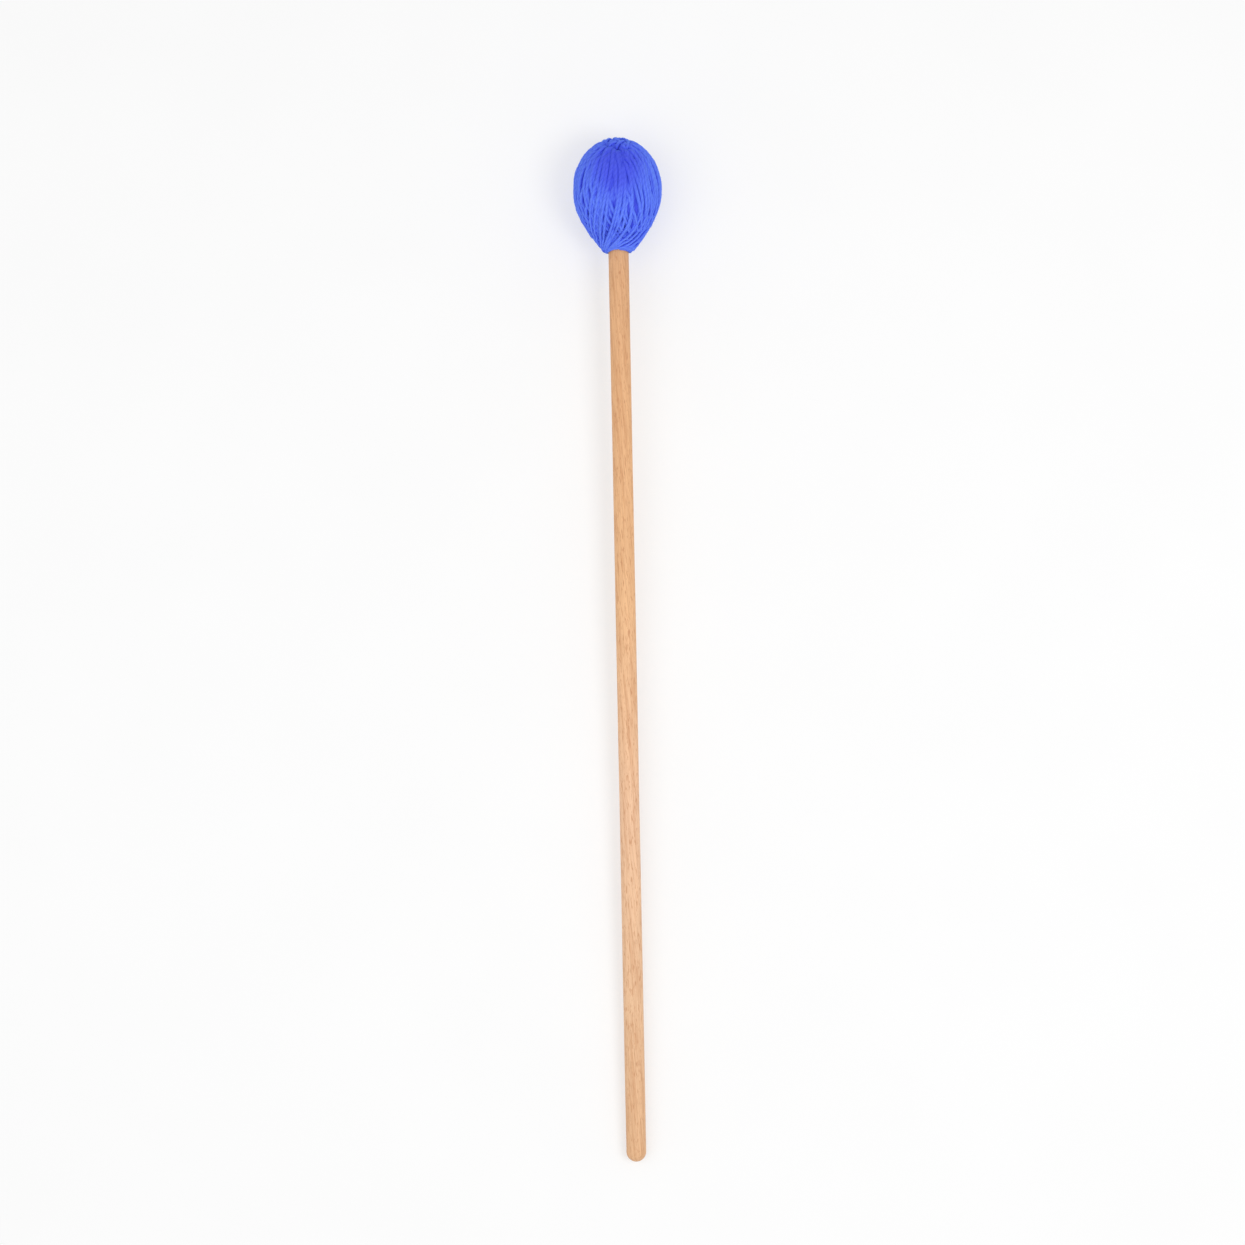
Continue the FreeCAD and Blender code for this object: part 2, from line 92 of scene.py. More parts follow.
# The lower half narrows as if it closed this far under the equator, by these two powers.
TAPER_REACH = 31.0
TAPER_POWERS = (2.1, 1.36)
FRONT_END = CAD_BOX[1][0] / MM
GRIP_POINT = np.array(GRIP["pos_m"], dtype=float) / MM
CROWN_ALONG = (FRONT_END - GRIP_POINT[0]) / AXIS[0]
EQUATOR = GRIP_POINT + AXIS * (CROWN_ALONG - CROWN_RISE)


def to_world(points):
    """Head frame to the frame of the CAD, in metres: front, side and height become the
    upward, sideways and axis ways of the lying mallet."""
    turn = np.stack([UPWARD, ACROSS, AXIS])
    return (points @ turn + EQUATOR) * MM


def linear(srgb):
    """Linear colour, with full cover, of an sRGB hex text."""
    shares = [int(srgb[i:i + 2], 16) / 255 for i in (1, 3, 5)]
    low = [c / 12.92 if c <= 0.04045 else ((c + 0.055) / 1.055) ** 2.4 for c in shares]
    return (low[0], low[1], low[2], 1.0)


# Settings.

class MalletYarn(bpy.types.PropertyGroup):
    """Sizes and colours of the yarn."""
    strand_width: bpy.props.FloatProperty(
        name="Strand width", description="Width of one strand as it lies",
        unit="LENGTH", default=1.58 * MM, min=0.5 * MM)
    strand_height: bpy.props.FloatProperty(
        name="Strand height", description="Thickness of one strand as it lies",
        unit="LENGTH", default=1.46 * MM, min=0.4 * MM)
    ply_lay: bpy.props.FloatProperty(
        name="Ply lay", description="Length of yarn in which its plies turn once",
        unit="LENGTH", default=7.0 * MM, min=2.0 * MM)
    loops: bpy.props.IntProperty(
        name="Loops in a sweep", description="Passes over the crown in one half turn of the head",
        default=14, min=4)
    seed: bpy.props.IntProperty(
        name="Seed", description="Start of the hand-wound unevenness", default=52)
    fibres: bpy.props.IntProperty(
        name="Loose fibres", description="Number of fibre ends that stand out", default=2200, min=1)
    # The next four blues are lit and shaded copies of one dye: the crest gets a painted highlight
    # and the flanks painted shade, darkened on the front and the back of the head and lightened
    # elsewhere as painted light.
    darkened_crest_highlight: bpy.props.FloatVectorProperty(
        name="Tight blue", description="Outward side of tight yarn",
        subtype="COLOR", size=4, default=linear("#5769f9"))
    darkened_flank_shade: bpy.props.FloatVectorProperty(
        name="Tight side", description="Flanks of tight yarn",
        subtype="COLOR", size=4, default=linear("#4a55e7"))
    lightened_crest_highlight: bpy.props.FloatVectorProperty(
        name="Loose blue", description="Outward side of loose yarn",
        subtype="COLOR", size=4, default=linear("#6787ff"))
    lightened_flank_shade: bpy.props.FloatVectorProperty(
        name="Loose side", description="Flanks of loose yarn",
        subtype="COLOR", size=4, default=linear("#4959e6"))
    # Painted shade: ply grooves, buried strands, tucked ends and stitch pockets are darkened
    # towards this blue.
    shade_blue: bpy.props.FloatVectorProperty(
        name="Deep blue", description="Yarn between the plies and far in",
        subtype="COLOR", size=4, default=linear("#333ccc"))


class MalletWood(bpy.types.PropertyGroup):
    """Colours of the beech."""
    middle: bpy.props.FloatVectorProperty(
        name="Beech", description="Main colour of the wood",
        subtype="COLOR", size=4, default=linear("#ecbd93"))
    fleck: bpy.props.FloatVectorProperty(
        name="Fleck", description="Colour of the short ray flecks",
        subtype="COLOR", size=4, default=linear("#c28257"))


class MalletStage(bpy.types.PropertyGroup):
    """Camera and light."""
    lean: bpy.props.FloatProperty(
        name="Lean", description="Turn of the mallet in the picture",
        subtype="ANGLE", default=math.radians(1.138))
    camera_height: bpy.props.FloatProperty(
        name="Camera height", description="Camera over the floor",
        unit="LENGTH", default=1.15)
    frame_width: bpy.props.FloatProperty(
        name="Frame width", description="Width of floor that the square picture shows",
        unit="LENGTH", default=0.50264)
    sky: bpy.props.FloatProperty(
        name="Sky", description="Strength of the even white light", default=0.65, min=0.0)
    lamp: bpy.props.FloatProperty(
        name="Soft boxes", description="Power that the two soft boxes share",
        unit="POWER", default=6.4, min=0.0)


# Small tools.

def unit(vectors):
    """Vectors at their length of one."""
    return vectors / np.linalg.norm(vectors, axis=-1, keepdims=True)


def smooth(share):
    """Smooth step: three times the square of the share less twice its cube."""
    return share * share * (3 - 2 * share)


def length_along(points):
    """Length run so far at each point of a route."""
    return np.concatenate([[0], np.cumsum(np.linalg.norm(np.diff(points, axis=0), axis=1))])


def ring_grid(radius, height, around):
    """Rings of points round the axis: one row for each height, at its radius."""
    rise = np.repeat(height[:, None], len(around), axis=1)
    return np.stack([radius * np.cos(around), radius * np.sin(around), rise], axis=-1)


def ring_quads(rows, ring):
    """Indices of a grid of rings, and the quads that join each ring to the next."""
    index = np.arange(rows * ring).reshape(rows, ring)
    following = np.roll(index, -1, axis=1)
    quads = np.stack([index[:-1], index[1:], following[1:], following[:-1]], axis=-1)
    return index, quads.reshape(-1, 4)


def add_node(tree, kind, settings=None, inputs=None):
    """Adds a node, sets its properties or the stops of its colour ramp, and gives each input
    its value or the socket that feeds it."""
    node = tree.nodes.new(kind)
    for key, value in (settings or {}).items():
        if key != "stops":
            setattr(node, key, value)
            continue
        bar = node.color_ramp
        for _ in value[2:]:
            bar.elements.new(0.5)
        for element, (place, colour) in zip(bar.elements, value):
            element.position = place
            element.color = colour
    for key, value in (inputs or {}).items():
        if isinstance(value, bpy.types.NodeSocket):
            tree.links.new(value, node.inputs[key])
        else:
            node.inputs[key].default_value = value
    return node


def new_material(name):
    """Empty material with a principled shader; gives the material, its tree and the shader."""
    material = bpy.data.materials.new(name)
    material.use_nodes = True
    tree = material.node_tree
    tree.nodes.clear()
    shader = add_node(tree, "ShaderNodeBsdfPrincipled")
    add_node(tree, "ShaderNodeOutputMaterial", inputs={"Surface": shader.outputs["BSDF"]})
    return material, tree, shader


def clouded_material(name, size, detail, low, high):
    """Material whose colour drifts between two stops over a distance in mm, as noise does;
    gives the material, its tree, the shader and the noise."""
    material, tree, shader = new_material(name)
    coords = add_node(tree, "ShaderNodeTexCoord").outputs["Object"]
    cloud = add_node(tree, "ShaderNodeTexNoise", inputs={
        "Scale": 1 / (size * MM), "Detail": detail, "Vector": coords}).outputs["Fac"]
    colour = add_node(tree, "ShaderNodeValToRGB", {"stops": [low, high]}, {"Fac": cloud})
    tree.links.new(colour.outputs["Color"], shader.inputs["Base Color"])
    return material, tree, shader, cloud


def mesh_object(name, points, faces, material, uv=None, values=None):
    """Smooth mesh piece from whole arrays of points and quads, with a UV map and named values."""
    mesh = bpy.data.meshes.new(name)
    mesh.from_pydata(points.astype(float), [], faces)
    mesh.polygons.foreach_set("use_smooth", np.ones(len(mesh.polygons), dtype=bool))
    if uv is not None:
        layer = mesh.uv_layers.new(name="UVMap")
        layer.data.foreach_set("uv", uv.astype(np.float32).ravel())
    for key, value in (values or {}).items():
        attribute = mesh.attributes.new(key, "FLOAT", "POINT")
        attribute.data.foreach_set("value", value.astype(np.float32))
    mesh.materials.append(material)
    mesh.update()
    piece = bpy.data.objects.new(name, mesh)
    bpy.context.scene.collection.objects.link(piece)
    return piece


def dress(piece, node):
    """Puts a piece on the mallet's one body in place of a CAD node."""
    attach(piece, "root")
    if node:
        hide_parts(node)


# Shape of the head.

def centre_radius(height):
    """Radius of the surface that the strands' centres lie on: an ellipse above the equator,
    and below it one minus a power of the height, to a power, which is nearly a cone at the
    neck."""
    upper = np.sqrt(np.clip(1 - (height / CENTRE_RISE) ** 2, 0, 1))
    lower = np.clip(1 - np.abs(height / TAPER_REACH) ** TAPER_POWERS[0], 0, 1) ** TAPER_POWERS[1]
    return CENTRE_WIDEST * np.where(height > 0, upper, lower)


def on_surface(turn, side):
    """Point of the centre surface at an angle in a loop's own plane and a distance beside it.
    The distance out is found by halving, for all points at once."""
    farthest, halvings = 40.0, 44
    low = np.zeros_like(turn)
    high = np.full_like(turn, farthest)
    for _ in range(halvings):
        middle = (low + high) / 2
        x = middle * np.cos(turn)
        z = middle * np.sin(turn)
        outside = np.hypot(x, side) > centre_radius(z)
        high = np.where(outside, middle, high)
        low = np.where(outside, low, middle)
    return np.stack([low * np.cos(turn), side, low * np.sin(turn)], axis=1)


def surface_normal(points):
    """Outward way of the centre surface, from the slope of its radius."""
    height = points[:, 2]
    radius = np.maximum(np.hypot(points[:, 0], points[:, 1]), 1e-6)
    step, steepest = 0.05, 60
    lowest, highest = 1.0 - TAPER_REACH, CENTRE_RISE - 0.01
    below = np.clip(height - step, lowest, highest)
    above = np.clip(height + step, lowest, highest)
    slope = (centre_radius(above) - centre_radius(below)) / np.maximum(above - below, 1e-6)
    slope = np.clip(slope, -steepest, steepest)
    way = np.stack([points[:, 0] / radius, points[:, 1] / radius, -slope], axis=1)
    near_pole = (radius < 0.3)[:, None] & (height > 0)[:, None]
    return unit(np.where(near_pole, np.array([0.0, 0.0, 1.0]), way))


def eased(values, places):
    """Values at whole places joined by smooth steps."""
    index = np.clip(np.floor(places).astype(int), 0, len(values) - 2)
    share = smooth(places - index)
    return values[index] * (1 - share) + values[index + 1] * share


def tail_turn():
    """Route of the yarn's last half turn, in mm: round the back of the head where it narrows,
    just over the other strands, with both ends tucked in at the sides by the eighth power of
    the share from its middle."""
    half_reach, middle_height = math.radians(104.0), -18.8
    proud, deepest = 0.35, 2.4
    share = np.linspace(-1, 1, 161)
    tucked = np.abs(share) ** 8
    angle = math.pi + share * half_reach
    height = middle_height + 0.5 * np.sin(3 * angle) - 0.6 * share
    radius = centre_radius(height) + proud - deepest * tucked
    centres = np.stack([radius * np.cos(angle), radius * np.sin(angle), height], axis=1)
    return centres, surface_normal(centres), length_along(centres), tucked


def neck_arch(points):
    """How far the lower end of the yarn is pushed up in front and behind, where strands cross
    over the shaft: by the square of the cosine of the angle round the axis, and less with a
    smooth step up to the flank."""
    arch_starts, arch_height = -15.0, 9.0
    lowness = smooth(np.clip((arch_starts - points[:, 2]) / arch_height, 0, 1))
    girth = np.maximum(np.hypot(points[:, 0], points[:, 1]), 1e-6)
    return NECK_ARCH * lowness * (points[:, 0] / girth) ** 2


@lru_cache(maxsize=2)
def laid_yarn(loops, seed):
    """Route of the one length of yarn, in the head frame in mm, in the order it was wound.
    Each loop runs over the crown a little to one side of the axis, down, past the shaft on
    one side and up again, while the head turns slowly. In a loop's own plane the distance to
    the side goes from its value at the neck to that at the crown by one less the square of the
    share of the height still to go, and takes off its value at the equator there, so that the
    strands stay evenly spaced. Where a later strand crosses an earlier one, the earlier one
    sinks. Gives the points, the outward ways, the lengths along and the depths."""
    rng = np.random.default_rng(seed)
    total = loops * 4
    per_loop = 260
    places = np.arange(total * per_loop + 1) / per_loop
    # A sweep is half a turn of the head, and the next one lies a third of a step beside it.
    step = -math.pi / (loops + 1 / 3)
    start = math.radians(88.0)
    # Nearest and farthest that a strand passes the axis at the neck.
    nearest, farthest = 4.95, 6.6
    # Unevenness of the hand: beside the crown, beside the shaft, and slow and quick on the way.
    crown_side = rng.normal(0.6, 1.3, total + 2)
    neck_side = (nearest + np.abs(rng.normal(0.0, 0.6, total + 2))).clip(nearest, farthest)
    slow, quick = 4, 9
    wander = rng.normal(0.0, 0.32, (total + 2) * slow)
    wobble = rng.normal(0.0, 0.18, (total + 2) * quick)
    turn = math.pi / 2 - 2 * math.pi * places
    band = start + step * places
    crown = eased(crown_side, places + 0.5) - CROSSING * np.sin(band)
    band = band - WRAP * np.where(np.sin(turn) < 0, np.tanh(3 * np.cos(turn)), np.cos(turn))
    neck = eased(neck_side, places)
    high = 1 - (1 - (1 + np.sin(turn)) / 2) ** 2
    middle = crown * 0.75 + neck * 0.25
    side = crown * high + neck * (1 - high) - middle * np.cos(turn)
    side = side + eased(wobble, places * quick) * np.abs(np.cos(turn))
    local = on_surface(turn, side)
    girth = np.hypot(local[:, 0], local[:, 1])
    widest, narrow = 17.0, 10.0
    band = band + eased(wander, places * slow) / widest * np.clip(girth / narrow, 0.4, 1.0)
    cosine = np.cos(band)
    sine = np.sin(band)
    points = np.stack([
        local[:, 0] * cosine - local[:, 1] * sine,
        local[:, 0] * sine + local[:, 1] * cosine,
        local[:, 2]], axis=1)
    points[:, 2] += neck_arch(points)
    run = length_along(points)
    spacing = 0.45
    even = np.arange(0, run[-1], spacing)
    points = np.stack([np.interp(even, run, points[:, axis]) for axis in range(3)], axis=1)
    ways = surface_normal(points)
    depth = sunk_depth(points, ways, spacing)
    return points, ways, even, depth


def near_points(points, first, last, reach, end):
    """Indices, under an end, of the points in the box round one stretch of the yarn."""
    box_low = points[first:last].min(axis=0) - reach
    box_high = points[first:last].max(axis=0) + reach
    inside = (points[:end] > box_low) & (points[:end] < box_high)
    return np.nonzero(inside.all(axis=1))[0]


def along_yarn(values, reach):
    """Values smoothed along the yarn by a bell of the given reach in points."""
    kernel = np.hanning(2 * reach + 3)[1:-1]
    return np.convolve(np.pad(values, reach, mode="edge"), kernel / kernel.sum(), mode="valid")


def sunk_depth(points, ways, spacing):
    """How far each point lies under the outline, from the strands that cross over it. First
    each stretch gets a level over the highest earlier strand that it touches. Then a point
    sinks by the levels above it, less where it is touched only by a side. Where every strand
    is sunk, as near the crown, all of them come up again by what the top ones have."""
    # In mm: the reach of a touch, the deepest that a strand sinks and the reach of its
    # neighbours; and the share of a touch that counts as height.
    contact, most, around = 1.4, 1.8, 2.3
    squash = 0.72
    bell, long_bell = int(1.8 / spacing), int(3.0 / spacing)
    # A strand is taken in stretches of 14 mm, and its own 20 mm before and after don't touch it.
    chunk = int(14 / spacing)
    skip = int(20 / spacing)
    count = len(points)
    stretches = [(first, min(first + chunk, count)) for first in range(0, count, chunk)]
    level = np.zeros(count)
    for first, last in stretches:
        near = near_points(points, first, last, contact, max(first - skip, 0))
        if not len(near):
            continue
        apart = np.linalg.norm(points[first:last, None] - points[None, near], axis=2)
        touch = np.sqrt(np.clip(contact ** 2 - apart ** 2, 0, None)) * squash
        level[first:last] = np.where(apart < contact, level[near][None] + touch, 0).max(axis=1)
    depth = np.zeros(count)
    for first, last in stretches:
        near = near_points(points, first, last, contact, count)
        apart = np.linalg.norm(points[first:last, None] - points[None, near], axis=2)
        cover = np.sqrt(np.clip(1 - (apart / contact) ** 2, 0, None))
        over = (level[near][None] - level[first:last, None]) * cover
        own = np.abs(near[None] - np.arange(first, last)[:, None]) <= skip
        depth[first:last] = np.where(own, 0, np.clip(over, 0, None)).max(axis=1)
    depth = along_yarn(most * (1 - np.exp(-depth / most)), bell)
    # Where one strand stands up alone, it settles part of the way to those beside it.
    allowed, settling = 0.35, 0.65
    lone = np.zeros(count)
    for first, last in stretches:
        near = near_points(points, first, last, around, count)
        apart = np.linalg.norm(points[first:last, None] - points[None, near], axis=2)
        own = np.abs(near[None] - np.arange(first, last)[:, None]) <= skip
        beside = (apart < around) & ~own
        mean = (beside * depth[near][None]).sum(axis=1) / np.maximum(beside.sum(axis=1), 1)
        lone[first:last] = np.clip(mean - depth[first:last] - allowed, 0, None)
    depth = depth + settling * along_yarn(lone, long_bell)
    # The top strands, a seventh of all at a height, meet the outline at every height.
    heights, band, top_percent, crown_starts = np.linspace(-24.0, 20.0, 18), 1.4, 14, 15.0
    top = [np.percentile(depth[np.abs(points[:, 2] - height) < band], top_percent)
           for height in heights]
    depth = depth - np.interp(points[:, 2], heights, top)
    depth = np.where(points[:, 2] > crown_starts, np.maximum(depth, 0.0), depth)
    # A sunk strand still passes outside the shaft.
    half_height = 0.72
    girth = np.hypot(points[:, 0], points[:, 1])
    level_way = np.maximum(np.hypot(ways[:, 0], ways[:, 1]), 0.3)
    spare = np.clip(girth - SHAFT_R - half_height, 0, None) / level_way
    return np.where(points[:, 2] < 0, np.minimum(depth, spare), depth)


def strand_mesh(centres, ways, run, half_width, half_height, lay, ring):
    """Tube along a route: at each point an ellipse across the route, with three lobes that turn
    once in each lay. Gives world points, quads and UV of length and turn."""
    tangent = unit(np.gradient(centres, axis=0))
    side = unit(np.cross(ways, tangent))
    up = np.cross(tangent, side)
    around = np.arange(ring) / ring * 2 * math.pi - math.pi / 2
    lobes = 1 + 0.03 * np.cos(3 * (around[None] - 2 * math.pi * run[:, None] / lay))
    across = (half_width[:, None] * lobes * np.cos(around)[None])[..., None]
    rise = (half_height[:, None] * lobes * np.sin(around)[None])[..., None]
    grid = centres[:, None] + across * side[:, None] + rise * up[:, None]
    quads = ring_quads(len(centres), ring)[1]
    turn_low = np.arange(ring) / ring
    turn_high = turn_low + 1 / ring
    u_low, u_high = run[:-1, None], run[1:, None]
    corners = ((u_low, turn_low), (u_high, turn_low), (u_high, turn_high), (u_low, turn_high))
    flat = np.ones((len(centres) - 1, ring))
    uv = np.stack([np.stack([u * flat, v * flat], axis=-1) for u, v in corners], axis=2)
    uv = uv.reshape(-1, 2)
    return to_world(grid.reshape(-1, 3)), quads, uv


def closed_strand(name, centres, ways, run, widths, heights, yarn, shade, material, ring=12):
    """Strand piece whose two ends taper to a closed point; its half width and half height are one
    value each or one for each point. It carries a painted shade for each point, and how far the
    yarn is painted paler there: darker on an area over the front and the back, and paler all round
    it, as painted light, by a smooth step of the distance from that area's middle."""
    taper = np.ones(len(centres))
    taper[0] = taper[-1] = 0.02
    taper[1] = taper[-2] = 0.75
    points, quads, uv = strand_mesh(
        centres, ways, run, widths * taper, heights * taper, yarn.ply_lay / MM, ring)
    caps = [list(range(ring))[::-1], list(range(len(points) - ring, len(points)))]
    faces = quads.tolist() + caps
    uv = np.concatenate([uv, np.zeros((2 * ring, 2))])
    # The darker area in mm: its middle's height, and its reach sideways, up and down. All round it
    # the yarn is painted paler as painted light.
    middle, sideways, upwards, downwards = 9.0, 13.5, 10.5, 17.0
    from_middle = centres[:, 2] - middle
    reach = np.where(from_middle > 0, upwards, downwards)
    away = np.hypot(centres[:, 1] / sideways, from_middle / reach)
    loose = smooth(np.clip((away - 0.35) / 0.75, 0, 1))
    values = {"shade": np.repeat(shade, ring), "loose": np.repeat(loose, ring)}
    return mesh_object(name, points, faces, material, uv, values)


# Materials.

def yarn_material(name, yarn):
    """Dyed acrylic knitting yarn, three loosely twisted plies: soft and matt, with fibres along the
    plies. Painted shade darkens it where plies meet and where strands are buried, a painted
    highlight makes the outward side paler than the flanks, and painted light makes it paler away
    from the front and the back of the head."""
    material, tree, shader = new_material(name)
    uv = add_node(tree, "ShaderNodeUVMap", {"uv_map": "UVMap"}).outputs["UV"]
    place = add_node(tree, "ShaderNodeSeparateXYZ", inputs={"Vector": uv})
    along, turn = place.outputs["X"], place.outputs["Y"]
    shade = add_node(tree, "ShaderNodeAttribute", {"attribute_name": "shade"}).outputs["Fac"]
    loose = add_node(tree, "ShaderNodeAttribute", {"attribute_name": "loose"}).outputs["Fac"]
    coords = add_node(tree, "ShaderNodeTexCoord").outputs["Object"]

    # The plies turn once round the strand in each lay, so a fibre keeps its place in the turn
    # less the share of a lay run so far. Fibres are about 2 mm long and 0.15 mm across.
    lays = add_node(tree, "ShaderNodeMath", {"operation": "DIVIDE"}, {
        0: along, 1: yarn.ply_lay / MM})
    skew = add_node(tree, "ShaderNodeMath", {"operation": "SUBTRACT"}, {
        0: turn, 1: lays.outputs[0]}).outputs[0]
    lengthwise = add_node(tree, "ShaderNodeMath", {"operation": "MULTIPLY"}, {0: along, 1: 0.5})
    crosswise = add_node(tree, "ShaderNodeMath", {"operation": "MULTIPLY"}, {0: skew, 1: 30.0})
    fibre_place = add_node(tree, "ShaderNodeCombineXYZ", inputs={
        "X": lengthwise.outputs[0], "Y": crosswise.outputs[0]})
    fibre = add_node(tree, "ShaderNodeTexNoise", inputs={
        "Scale": 1.0, "Detail": 3.0, "Roughness": 0.6, "Vector": fibre_place.outputs[0]})
    dye = add_node(tree, "ShaderNodeTexNoise", inputs={
        "Scale": 1 / (8 * MM), "Detail": 2.0, "Vector": coords})
    ply_turn = add_node(tree, "ShaderNodeMath", {"operation": "MULTIPLY"}, {
        0: skew, 1: 3 * 2 * math.pi})
    ply = add_node(tree, "ShaderNodeMath", {"operation": "COSINE"}, {0: ply_turn.outputs[0]})
    ply_groove_shade = add_node(tree, "ShaderNodeMapRange", inputs={
        "Value": ply.outputs[0], "From Min": -1.0, "From Max": 0.1, "To Min": 0.22, "To Max": 0.0})

    # Outward is 1 on the side that faces away from the head, a quarter on the flanks and 0 on the
    # side that lies on the head: it lays a painted highlight on the crest and painted shade on the
    # flanks.
    side_turn = add_node(tree, "ShaderNodeMath", {"operation": "MULTIPLY"}, {
        0: turn, 1: 2 * math.pi})
    side_wave = add_node(tree, "ShaderNodeMath", {"operation": "COSINE"}, {
        0: side_turn.outputs[0]})
    outward = add_node(tree, "ShaderNodeMapRange", inputs={
        "Value": side_wave.outputs[0], "From Min": 0.35, "From Max": -1.0}).outputs[0]
    half_outward = add_node(tree, "ShaderNodeMath", {"operation": "MULTIPLY"}, {0: outward, 1: 0.5})
    # Painted highlight and shade across the strand, in the darker blues of the front and the back.
    darkened = add_node(tree, "ShaderNodeMix", {"data_type": "RGBA"}, {
        0: half_outward.outputs[0], 6: yarn.darkened_flank_shade, 7: yarn.darkened_crest_highlight})
    # The same in the paler blues.
    lightened_yarn = add_node(tree, "ShaderNodeMix", {"data_type": "RGBA"}, {
        0: outward, 6: yarn.lightened_flank_shade, 7: yarn.lightened_crest_highlight})
    # Painted light: away from the front and the back the yarn turns to the paler blues.
    colour = add_node(tree, "ShaderNodeMix", {"data_type": "RGBA"}, {
        0: loose, 6: darkened.outputs[2], 7: lightened_yarn.outputs[2]}).outputs[2]

    fibre_tint = add_node(tree, "ShaderNodeValToRGB", {"stops": [
        (0.30, (0.72, 0.74, 0.86, 1.0)), (0.52, (1.0, 1.0, 1.0, 1.0)),
        (0.74, (1.25, 1.22, 1.06, 1.0))]}, {"Fac": fibre.outputs["Fac"]})
    dye_tint = add_node(tree, "ShaderNodeValToRGB", {"stops": [
        (0.36, (0.86, 0.86, 0.95, 1.0)), (0.62, (1.04, 1.04, 1.0, 1.0))]}, {
            "Fac": dye.outputs["Fac"]})
    for amount, tint in ((0.5, fibre_tint), (0.5, dye_tint)):
        colour = add_node(tree, "ShaderNodeMix", {"data_type": "RGBA", "blend_type": "MULTIPLY"}, {
            0: amount, 6: colour, 7: tint.outputs["Color"]}).outputs[2]
    # Painted shade in the grooves between the plies and on buried strands.
    for amount in (ply_groove_shade.outputs[0], shade):
        colour = add_node(tree, "ShaderNodeMix", {"data_type": "RGBA"}, {
            0: amount, 6: colour, 7: yarn.shade_blue}).outputs[2]
    tree.links.new(colour, shader.inputs["Base Color"])
    bump = add_node(tree, "ShaderNodeBump", inputs={
        "Strength": 0.4, "Distance": 0.10 * MM, "Height": fibre.outputs["Fac"]})
    tree.links.new(bump.outputs["Normal"], shader.inputs["Normal"])
    shader.inputs["Roughness"].default_value = 0.85
    shader.inputs["Specular IOR Level"].default_value = 0.2
    shader.inputs["Sheen Weight"].default_value = 0.6
    shader.inputs["Sheen Roughness"].default_value = 0.35
    shader.inputs["Sheen Tint"].default_value = linear("#76bcff")
    return material


